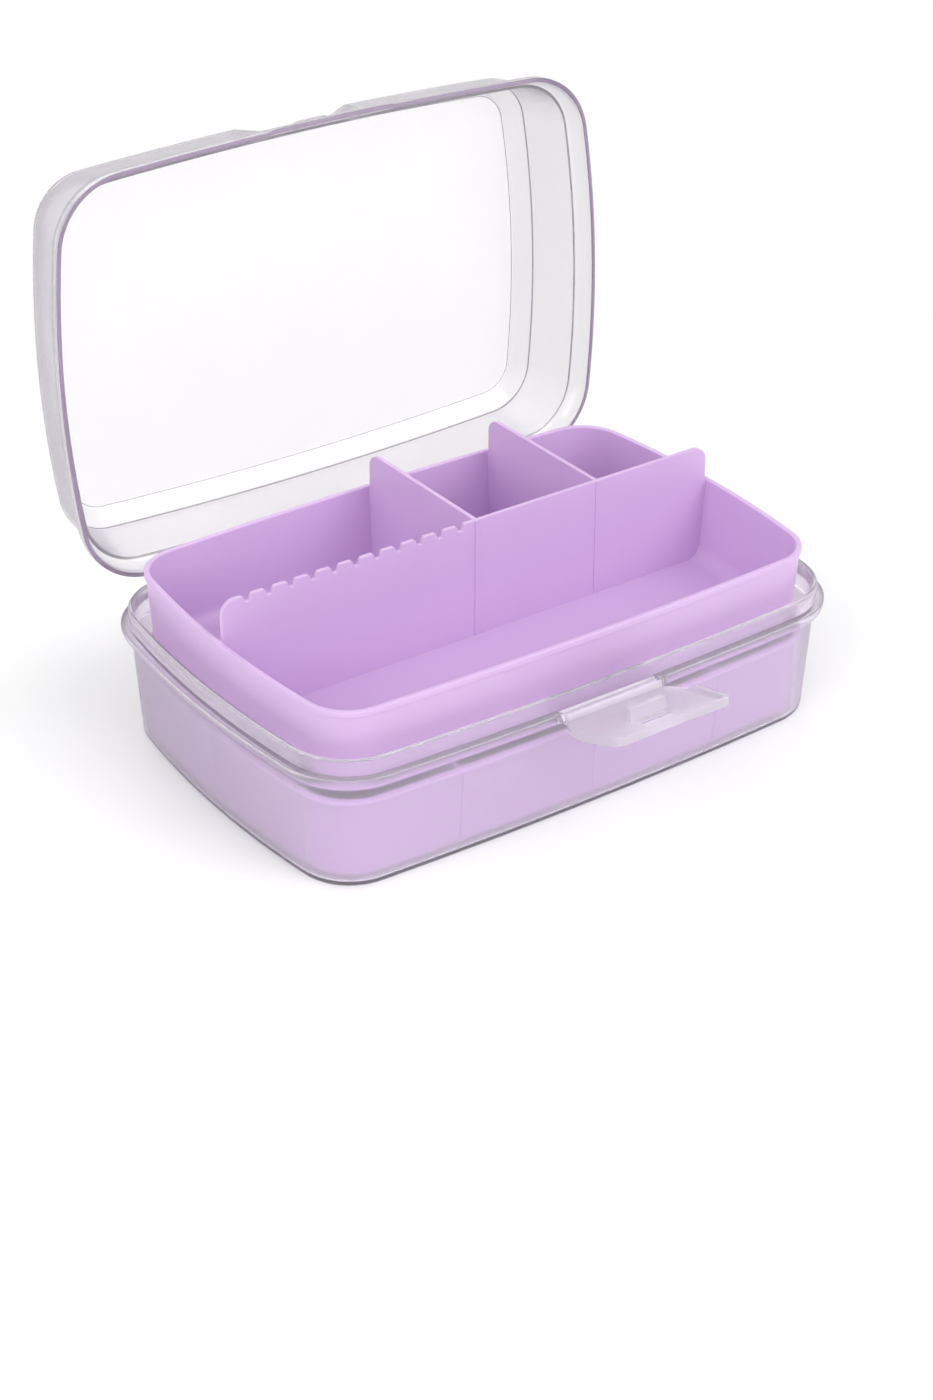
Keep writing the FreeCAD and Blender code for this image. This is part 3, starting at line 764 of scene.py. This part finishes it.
def add_latch_bar(piece, shell, fit):
    """Notch in the base's front rim, and the latch bar between its two lugs."""
    lip_top = shell.flange_top + shell.lip_height
    half = fit.latch_span / 2 + fit.latch_gap
    levels = (LATCH_Z - fit.latch_barrel - fit.latch_gap, shell.flange_top + OVERLAP)
    notch = block("notch", (-half, half), (LATCH_Y - fit.latch_barrel, 0), levels)
    cut(notch, plan_prism("inside", shell, shell.lip_outset, 0, lip_top))
    cut(piece, notch)
    radius, lug_half = fit.latch_rod / 2, half + fit.latch_lug
    for side in (-1, 1):
        ends = sorted((side * half, side * lug_half))
        stem = block("stem", ends, (LATCH_Y, 0), (LATCH_Z - radius, shell.flange_top))
        cut(stem, plan_prism("inside", shell, 0, 0, lip_top))
        join(stem, rod("lug", radius + fit.latch_lug_wall, ends, LATCH))
        join(piece, stem)
    join(piece, rod("latch_bar", radius, (-lug_half, lug_half), LATCH))


class ORGANIZER_OT_base_shell(Operator):
    """Clear base with its flange, lip, hinge rod and latch bar"""

    bl_idname = "organizer.base_shell"
    bl_label = "Base shell"

    def execute(self, context):
        shell, fit = context.scene.organizer_shell, context.scene.organizer_fittings
        piece = swept("clear_base", shell, base_section(shell))
        add_hinge_rod(piece, shell, fit)
        add_latch_bar(piece, shell, fit)
        dress(piece, satin_plastic, "base", "base_shell")
        return {"FINISHED"}


def lid_levels(shell):
    """Heights of the closed lid's rim, wall foot, shoulder and flat top."""
    rim = shell.flange_top + shell.lid_gap
    top = rim + shell.lid_height
    return rim, rim + shell.skirt_straight + shell.skirt_rise, top - shell.shoulder_drop, top


def lid_face(shell, wall):
    """One face of the closed lid's section, a wall inside the outer one, from skirt to flat top."""
    rim, wall_foot, bend, top = lid_levels(shell)
    out = shell.flange_outset
    radius = (out ** 2 + shell.skirt_rise ** 2) / (2 * out)
    turn = math.acos((radius - out - wall) / (radius - wall))
    _, shoulder, edge, core = parallel([
        (0, wall_foot),
        (-shell.lid_draft, bend),
        (-shell.top_inset, top),
        (-shell.core_inset, top),
    ], wall)
    return [
        (out - wall, rim, shell.lid_round),
        *arc((out - radius, rim + shell.skirt_straight), radius - wall, 0, turn),
        (*shoulder, shell.shoulder_round - wall),
        (*edge, shell.top_round - wall),
        (-shell.core_inset, core[1]),
    ]


def lid_lean(shell, height):
    """How far the closed lid's wall has drawn in at one height."""
    _, wall_foot, shoulder, _ = lid_levels(shell)
    return shell.lid_draft * (height - wall_foot) / (shoulder - wall_foot)


def scoop_tool(shell, extra):
    """Leaning trough that hollows the lid's front for a fingertip, deepest at the shoulder."""
    _, wall_foot, shoulder, top = lid_levels(shell)
    foot = wall_foot + shell.scoop_lift
    face_y = -shell.body_width / 2 + shell.lid_draft + shell.scoop_depth
    narrow = shell.scoop_width / 2 - shell.scoop_side + extra
    wide = narrow + SCOOP_REACH * shell.scoop_side
    outside = face_y - SCOOP_REACH * shell.scoop_depth
    trough = turned([
        (-wide, outside),
        (wide, outside),
        (narrow, face_y + extra, shell.scoop_turn + extra),
        (-narrow, face_y + extra, shell.scoop_turn + extra),
    ], closed=True)
    tool = prism("scoop", "Z", trough, shoulder - shell.lid_height, shoulder + shell.lid_height)
    run = lid_lean(shell, shoulder) - lid_lean(shell, foot) + shell.scoop_depth
    lean = Matrix.Rotation(-math.atan2(run, shoulder - foot), 4, "X")
    spot = Vector((0, face_y, shoulder))
    tool.data.transform(Matrix.Translation(spot) @ lean @ Matrix.Translation(-spot))
    half = shell.body_length / 2
    keep = block("keep", (-half, half), (-shell.body_width, 0), (foot - extra, top))
    return cross(tool, keep)


def add_catch(piece, shell, fit):
    """Catch in the lid's scoop, which the latch's hook snaps over."""
    _, wall_foot, shoulder, top = lid_levels(shell)
    foot = wall_foot + shell.scoop_lift
    hollow = shell.scoop_depth * (fit.catch_top - foot) / (shoulder - foot)
    root = -lid_lean(shell, fit.catch_top) - hollow - shell.lid_wall / 2
    half = fit.catch_width / 2
    face_y = -shell.body_width / 2 - fit.catch_outset
    tongue = turned([
        (-half, face_y, fit.catch_round), (half, face_y, fit.catch_round), (half, 0), (-half, 0),
    ], closed=True)
    catch = prism("catch", "Z", tongue, fit.catch_top - fit.catch_height, fit.catch_top)
    cut(catch, plan_prism("inside", shell, root, 0, top))
    join(piece, catch)


def add_hinge_clip(piece, shell, fit):
    """Room for the base's web and rod in the lid's back rim, and the clip that snaps on the rod."""
    top = lid_levels(shell)[-1]
    half, bore, clip = hinge_numbers(fit)
    reach = half + fit.hinge_gap
    above = HINGE_Z + fit.hinge_web / 2 + fit.hinge_gap
    cut(piece, block("web_room", (-reach, reach), (HINGE_Y - fit.hinge_room, HINGE_Y), (0, above)))
    cut(piece, rod("rod_room", bore, (-reach, reach), HINGE))
    half -= fit.hinge_gap
    root = block("clip_root", (-half, half), (0, HINGE_Y), (HINGE_Z + bore, HINGE_Z + clip))
    wall_middle = shell.flange_outset - shell.lid_wall / 2
    cut(root, plan_prism("inside", shell, wall_middle, 0, top))
    swing = -math.radians(JOINTS["lid_hinge"]["range_deg"][0])
    start, stop = fit.clip_start, math.asin((fit.hinge_web / 2 + fit.hinge_rest) / bore) + swing - math.pi
    hook = arc(HINGE, bore, start, stop, CLIP_STEPS) + arc(HINGE, clip, stop, start, CLIP_STEPS)
    join(root, prism("clip", "X", hook, -half, half))
    join(piece, root)


def latch_ceiling(fit):
    """Height of the closed lid's rim over the latch's barrel."""
    return LATCH_Z + fit.latch_barrel + fit.latch_gap


def raise_rim(piece, shell, fit):
    """Slopes in the lid's front rim, up to a level stretch over the latch bar and its lugs."""
    rim, ceiling = lid_levels(shell)[0], latch_ceiling(fit)
    room = fit.latch_span / 2 + 2 * fit.latch_gap + fit.latch_lug
    wide, below = room + 2 * fit.rim_run, 2 * rim - ceiling
    arch = turned([
        (-wide, below), (wide, below), (room, ceiling, fit.rim_turn), (-room, ceiling, fit.rim_turn),
    ], closed=True)
    cut(piece, prism("latch_room", "Y", arch, -shell.body_width, 0))


def lid_finishes(shell, fit, faces):
    """Finish of each face of the closed lid."""
    rim, _, _, top = lid_levels(shell)
    turn = math.atan2(shell.shoulder_drop, shell.top_inset - shell.lid_draft)
    turned_foot = top - shell.top_round * (1 - math.cos(turn))
    inside = [height for _, height in turned(lid_face(shell, shell.lid_wall))]
    # The inner face ends with the shoulder's bend, the top edge's bend and the middle of the flat top.
    at_edge = inside[-BEND_STEPS - 2:-1]
    at_shoulder = inside[-2 * BEND_STEPS - 3:-BEND_STEPS - 2]
    middle = BEND_STEPS // 2
    lines = [(bend[middle - 1], bend[middle + 1]) for bend in (at_edge, at_shoulder)]
    finishes = []
    for face in faces:
        height, facing = face.center.z, face.normal.z
        over_latch = face.center.y < 0 and height < latch_ceiling(fit) + NUDGE and facing < FACES_DOWN
        if height > top - NUDGE or (facing < 0 and height > inside[-1] - NUDGE):
            finishes.append(FROSTED)
        elif height > turned_foot:
            finishes.append(TURNED)
        # The rim and the slopes over the latch bar take the painted mauve rim line.
        elif rim - NUDGE < height < rim + shell.lid_round or over_latch:
            finishes.append(RIM)
        # The middle of each inner bend takes the painted grey line of shade.
        elif facing < 0 and any(low < height < high for low, high in lines):
            finishes.append(BEND)
        else:
            finishes.append(CLEAR)
    return finishes


class ORGANIZER_OT_lid(Operator):
    """Clear lid with its skirt, shoulder, finger scoop, catch and hinge clip, standing open"""

    bl_idname = "organizer.lid"
    bl_label = "Lid"

    def execute(self, context):
        shell, fit = context.scene.organizer_shell, context.scene.organizer_fittings
        outer = lid_face(shell, 0)[::-1]
        piece = swept("clear_lid", shell, turned(outer + lid_face(shell, shell.lid_wall)))
        full = swept("lid_full", shell, turned(outer + [(-shell.core_inset, lid_levels(shell)[0])]))
        join(piece, cross(full, scoop_tool(shell, shell.lid_wall)))
        cut(piece, scoop_tool(shell, 0))
        add_catch(piece, shell, fit)
        add_hinge_clip(piece, shell, fit)
        raise_rim(piece, shell, fit)
        finishes = lid_finishes(shell, fit, piece.data.polygons)
        piece.data.transform(joint_turn("lid_hinge"))
        dress(piece, clear_plastic, "lid", "lid")
        # The flat top, its turned edge, the painted rim line and the painted bend lines take their own
        # materials.
        for make in (frosted_plastic, turned_plastic, painted_rim_line, painted_bend_line):
            piece.data.materials.append(shared_material(make))
        for face, finish in zip(piece.data.polygons, finishes):
            face.material_index = finish
        return {"FINISHED"}


def insert_section(shell, inner):
    """Outer and inner half of the insert's section."""
    floor = shell.base_floor + inner.insert_floor
    rim = base_inner(shell, inner.insert_top) - inner.insert_gap
    wall_top = rim - inner.insert_flange
    wall_foot = base_inner(shell, shell.base_floor) - inner.insert_gap - inner.insert_flange
    under = inner.insert_top - inner.insert_flange_height
    outside = [
        (-shell.core_inset, shell.base_floor),
        (wall_foot, shell.base_floor, inner.insert_foot),
        (wall_top, under, inner.insert_round),
        (rim, under, inner.insert_round),
        (rim, inner.insert_top, inner.insert_round),
    ]
    inside = [
        (wall_top - inner.insert_wall, inner.insert_top, inner.insert_round),
        (wall_foot - inner.insert_wall, floor, inner.insert_edge),
        (-shell.core_inset, floor),
    ]
    return outside, inside


def insert_dividers(shell, inner):
    """Long divider, cross dividers and the posts where they meet, out to beyond the wall."""
    half = inner.divider_wall / 2
    half_length, half_width = shell.body_length / 2, shell.body_width / 2
    levels = (shell.base_floor, inner.divider_top)
    walls = block("long_divider", (-half_length, half_length), (-half, half), levels)
    for i in (-1, 0, 1):
        x = i * inner.divider_pitch
        join(walls, block("cross", (x - half, x + half), (-half_width, half_width), levels))
        ring = arc((x, 0), inner.post / 2, 0, math.tau, POST_STEPS)[:-1]
        join(walls, prism("post", "Z", ring, *levels))
    return walls


class ORGANIZER_OT_lower_insert(Operator):
    """Lilac insert with its rim, crossing dividers and posts"""

    bl_idname = "organizer.lower_insert"
    bl_label = "Lower insert"

    def execute(self, context):
        shell, inner = context.scene.organizer_shell, context.scene.organizer_inner
        outside, inside = insert_section(shell, inner)
        piece = swept("lilac_insert", shell, turned(outside + inside))
        walls = insert_dividers(shell, inner)
        room = filled("insert_room", shell, outside[1:3], inner.insert_line, inner.divider_top)
        join(piece, cross(walls, room))
        dress(piece, lilac_plastic, "base", "lower_insert")
        return {"FINISHED"}


def tray_section(shell, inner):
    """Outer and inner half of the tray's section."""
    low, floor = inner.tray_foot, inner.tray_foot + inner.tray_floor
    top = low + inner.tray_height
    under = top - inner.bead_height
    wall_top = -inner.tray_face
    wall_foot = wall_top - inner.tray_draft
    bead = wall_top + inner.tray_bead
    outside = [
        (-shell.core_inset, low),
        (wall_foot, low, inner.tray_edge),
        (wall_top, under),
        (bead, under),
        (bead, top, inner.bead_round),
    ]
    inside = [
        (wall_top - inner.tray_wall, top, inner.tray_round),
        (wall_foot - inner.tray_wall, floor, inner.tray_edge - inner.tray_wall),
        (-shell.core_inset, floor),
    ]
    return outside, inside


def tray_levels(inner):
    """Heights of the tray's edge and of its comb, and the outset of the raised comb's ends."""
    top = inner.tray_foot + inner.tray_height
    return top, top + inner.comb_rise, -inner.tray_face - inner.comb_inset


def comb_outline(inner, end, low, top):
    """Front view of the raised comb with its row of thread notches."""
    outline = [(end, low), (end, top, inner.comb_corner)]
    mouth, floor, bottom = inner.notch_width / 2, inner.notch_floor / 2, top - inner.notch_depth
    for i in reversed(range(inner.notch_count)):
        x = inner.notch_first + i * inner.notch_pitch
        outline += [
            (x + mouth, top, inner.notch_corner),
            (x + floor, bottom, inner.notch_turn),
            (x - floor, bottom, inner.notch_turn),
            (x - mouth, top, inner.notch_corner),
        ]
    return outline + [(-end, top, inner.comb_corner), (-end, low)]


def tray_walls(shell, inner):
    """Comb and dividers of the tray, out to beyond its wall."""
    top, comb_top, comb_face = tray_levels(inner)
    half_length, half_width = shell.body_length / 2, shell.body_width / 2
    half = inner.comb_wall / 2
    foot = inner.tray_foot + inner.tray_floor / 2
    comb = comb_outline(inner, half_length + comb_face, top, comb_top)
    comb += [(-half_length, top), (-half_length, foot), (half_length, foot), (half_length, top)]
    walls = prism("comb", "Y", turned(comb, closed=True), -half, half)
    front = -half - inner.comb_rib
    for x in (0, inner.second_divider):
        back = plan_depth(shell, x, comb_face)
        divider = turned([
            (front, foot),
            (half_width, foot),
            (half_width, top),
            (back, top),
            (back, comb_top - NUDGE, inner.comb_corner),
            (front, comb_top - NUDGE),
        ], closed=True)
        join(walls, prism("divider", "X", divider, x - half, x + half))
    return walls


class ORGANIZER_OT_upper_tray(Operator):
    """Lilac lift-out tray with its beaded edge, thread comb and dividers"""

    bl_idname = "organizer.upper_tray"
    bl_label = "Upper tray"

    def execute(self, context):
        shell, inner = context.scene.organizer_shell, context.scene.organizer_inner
        outside, inside = tray_section(shell, inner)
        piece = swept("lilac_tray", shell, turned(outside + inside))
        walls = tray_walls(shell, inner)
        top, comb_top, comb_face = tray_levels(inner)
        room = filled("tray_room", shell, outside[1:3], -inner.tray_wall / 2, top - WALL_SINK)
        above = plan_prism("above", shell, comb_face + NUDGE, top - WALL_LAP, comb_top + NUDGE)
        cross(walls, join(room, above))
        join(piece, walls)
        dress(piece, lilac_plastic, "tray", "upper_tray")
        return {"FINISHED"}


def latch_outline(fit, inset):
    """Front view of the closed latch's plate, drawn in on all sides but its foot."""
    foot = fit.latch_span / 2 - inset
    top_z = LATCH_Z + fit.latch_height - inset
    right = [
        (foot, LATCH_Z),
        (foot, LATCH_Z + fit.latch_waist, fit.latch_waist_round),
        (fit.latch_width / 2 - inset, LATCH_Z + fit.latch_hip, fit.latch_hip_round - inset),
        (fit.latch_top / 2 - inset, top_z, fit.latch_corner - inset),
    ]
    left = [(-x, *rest) for x, *rest in right[::-1]]
    return turned(right + [(0, top_z - fit.latch_dip, fit.latch_width)] + left, closed=True)


def flange_part(fit, up):
    """Part of the side flanges' full depth at one part of the latch's height."""
    rise = (up * fit.latch_height - fit.latch_side_foot) / fit.latch_side_rise
    rise = min(max(rise, 0), 1)
    return rise ** 2 * (3 - 2 * rise) * (1 - fit.latch_side_fade * up)


def latch_layer(fit, near, far, flange=0):
    """Bowed and leaning layer of the closed latch, between two depths behind its outer face."""
    steps = [i / ROUND_STEPS for i in range(ROUND_STEPS + 1)]
    points = []
    for depth, swell, ups in ((near, 0, steps), (far, flange, steps[::-1])):
        for up in ups:
            face_y = LATCH_Y - fit.latch_barrel + depth + swell * flange_part(fit, up)
            bow = fit.latch_bow * 4 * up * (1 - up)
            points.append((face_y + up * fit.latch_lean - bow, LATCH_Z + up * fit.latch_height))
    half = fit.latch_width / 2 + OVERLAP
    return prism("layer", "X", points, -half, half)


def hook_top(fit):
    """Height of the closed latch's hook, where its window begins."""
    return LATCH_Z + fit.hook_rise + fit.hook_height


def cut_window(piece, fit, depth):
    """Window above the latch's hook, with one rounded corner."""
    half, low = fit.window_width / 2, hook_top(fit)
    high = low + fit.window_height
    window = turned([(-half, low), (half, low, fit.window_round), (half, high), (-half, high)], closed=True)
    cut(piece, prism("window", "Y", window, *depth))


def add_flanges(piece, fit, depth):
    """Tapering flanges along the latch's sides and free edge."""
    foot = LATCH_Z + fit.latch_side_foot
    flanges = latch_layer(fit, fit.latch_wall / 2, fit.latch_wall - NUDGE, fit.latch_side)
    cross(flanges, prism("rim", "Y", latch_outline(fit, 0), *depth))
    cut(flanges, prism("hollow", "Y", latch_outline(fit, fit.latch_wall), *depth))
    cut(flanges, block("below", (-fit.latch_width, fit.latch_width), depth, (0, foot)))
    join(piece, flanges)


def add_hook(piece, fit, depth, tip_y):
    """Hook that snaps over the lid's catch."""
    half, top = fit.hook_width / 2, hook_top(fit)
    hook = block("hook", (-half, half), (depth[0], tip_y), (top - fit.hook_height, top))
    cut(hook, latch_layer(fit, -fit.latch_height, fit.latch_wall / 2))
    join(piece, hook)


def add_barrel(piece, fit):
    """Open barrel at the latch's foot, which snaps on the base's bar."""
    first, last = fit.latch_mouth / 2, math.tau - fit.latch_mouth / 2
    ring = arc(LATCH, fit.latch_bore, first, last, ROUND_STEPS)
    ring += arc(LATCH, fit.latch_barrel, last, first, ROUND_STEPS)
    half = fit.latch_span / 2
    join(piece, prism("barrel", "X", ring, -half, half))
    cut(piece, rod("bore", fit.latch_bore, (-fit.latch_width, fit.latch_width), LATCH))


class ORGANIZER_OT_latch(Operator):
    """Milky latch with its side flanges, window, hook and snap barrel, folded out"""

    bl_idname = "organizer.latch"
    bl_label = "Latch"

    def execute(self, context):
        shell, fit = context.scene.organizer_shell, context.scene.organizer_fittings
        front = -shell.body_width / 2
        depth = (front - fit.latch_height, 0)
        piece = latch_layer(fit, 0, fit.latch_wall)
        piece.name = "milky_latch"
        cross(piece, prism("front", "Y", latch_outline(fit, 0), *depth))
        cut_window(piece, fit, depth)
        add_flanges(piece, fit, depth)
        add_hook(piece, fit, depth, front - fit.catch_outset + fit.hook_overlap)
        add_barrel(piece, fit)
        piece.data.transform(joint_turn("latch_pivot"))
        dress(piece, milky_plastic, "latch", "latch")
        return {"FINISHED"}


def add_floor():
    """Round sheet of paper just below the box."""
    disc = arc((0, 0), FLOOR_RADIUS, 0, math.tau, FLOOR_STEPS)[:-1]
    floor = prism("floor", "Z", disc, *FLOOR_LEVELS)
    floor.data.materials.append(studio_paper())


def add_world(scene):
    """Soft light from all sides, which is seen as plain white."""
    world = bpy.data.worlds.new("studio")
    world.use_nodes = True
    tree = world.node_tree
    tree.nodes.clear()
    seen = seen_directly(tree)
    soft = add_node(tree, "Background", {"Color": WHITE, "Strength": SKY_STRENGTH})
    white = add_node(tree, "Background", {"Color": WHITE, "Strength": 1.0})
    mixed = add_node(
        tree, "MixShader", {},
        {0: seen.outputs["Value"], 1: soft.outputs["Background"], 2: white.outputs["Background"]},
    )
    add_node(tree, "OutputWorld", {}, {"Surface": mixed.outputs["Shader"]})
    scene.world = world


def aimed(scene, name, data, spot, aim):
    """Lamp or camera that stands at one place and looks at another."""
    holder = bpy.data.objects.new(name, data)
    holder.location = spot
    holder.rotation_euler = (Vector(aim) - Vector(spot)).to_track_quat("-Z", "Y").to_euler()
    scene.collection.objects.link(holder)
    return holder


class ORGANIZER_OT_stage(Operator):
    """Pale floor, soft lamps, world and camera"""

    bl_idname = "organizer.stage"
    bl_label = "Stage"

    def execute(self, context):
        scene = context.scene
        scene.view_settings.view_transform = "Standard"
        add_floor()
        add_world(scene)
        for name, spot, power in LAMPS:
            lamp = bpy.data.lights.new(name, "AREA")
            lamp.size = LAMP_SIZE
            lamp.energy = power
            aimed(scene, name, lamp, spot, LAMP_AIM)
        lens = bpy.data.cameras.new("camera")
        lens.lens = LENS
        lens.sensor_width = SENSOR
        lens.shift_x, lens.shift_y = SHIFT
        scene.camera = aimed(scene, "camera", lens, EYE, AIM)
        return {"FINISHED"}


class ORGANIZER_PT_panel(Panel):
    """Buttons for the box's pieces and its stage"""

    bl_label = "Organizer box"
    bl_space_type = "VIEW_3D"
    bl_region_type = "UI"
    bl_category = "Organizer"

    def draw(self, context):
        for operator in OPERATORS:
            self.layout.operator(operator.bl_idname)
        for group in GROUPS:
            box = self.layout.box()
            settings = getattr(context.scene, group)
            for name in settings.__annotations__:
                box.prop(settings, name)


GROUPS = {
    "organizer_shell": OrganizerShell,
    "organizer_fittings": OrganizerFittings,
    "organizer_inner": OrganizerInner,
    "organizer_colours": OrganizerColours,
}
OPERATORS = (
    ORGANIZER_OT_base_shell,
    ORGANIZER_OT_lower_insert,
    ORGANIZER_OT_upper_tray,
    ORGANIZER_OT_lid,
    ORGANIZER_OT_latch,
    ORGANIZER_OT_stage,
)


def register():
    """Adds the settings, operators and panel."""
    for kind in (*GROUPS.values(), *OPERATORS, ORGANIZER_PT_panel):
        bpy.utils.register_class(kind)
    for name, group in GROUPS.items():
        setattr(bpy.types.Scene, name, PointerProperty(type=group))


def unregister():
    """Takes them away again."""
    for name in GROUPS:
        delattr(bpy.types.Scene, name)
    for kind in (ORGANIZER_PT_panel, *reversed(OPERATORS), *GROUPS.values()):
        bpy.utils.unregister_class(kind)


def main():
    """Builds every piece and the stage."""
    register()
    bpy.ops.organizer.stage()
    bpy.ops.organizer.base_shell()
    bpy.ops.organizer.lower_insert()
    bpy.ops.organizer.upper_tray()
    bpy.ops.organizer.lid()
    bpy.ops.organizer.latch()


if __name__ == "__main__":
    main()
